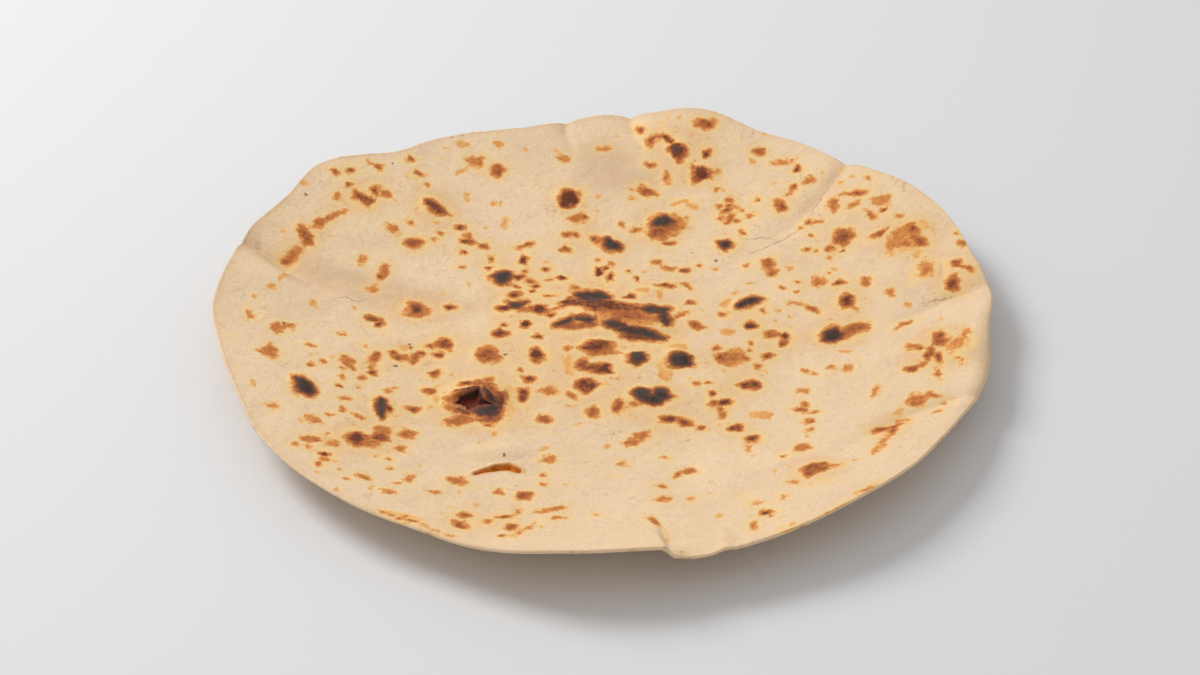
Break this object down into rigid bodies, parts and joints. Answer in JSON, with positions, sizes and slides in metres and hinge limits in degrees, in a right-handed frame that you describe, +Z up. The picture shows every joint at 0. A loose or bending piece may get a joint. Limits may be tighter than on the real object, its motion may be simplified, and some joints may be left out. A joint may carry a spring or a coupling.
{
  "type": "chapati",
  "caption": "Round thin flatbread, baked and toasted, with a raised wavy rim, soft folds at the edge, low blisters, a burst blister and a short tear.",
  "frame": {"origin": "bottom centre: the middle of the bounding box in plan, at the height of the flat underside", "axes": "+Z up out of the bread's top face, +X to the right and +Y away from the viewer of the side with the lifted edge and its pleat"},
  "size_m": [0.2538, 0.2491, 0.02],
  "materials": {
    "bread": "matt, dry, floury flat bread with brown and black toasted spots"
  },
  "bodies": {
    "root": {"chapati": "bread"}
  },
  "joints": []
}
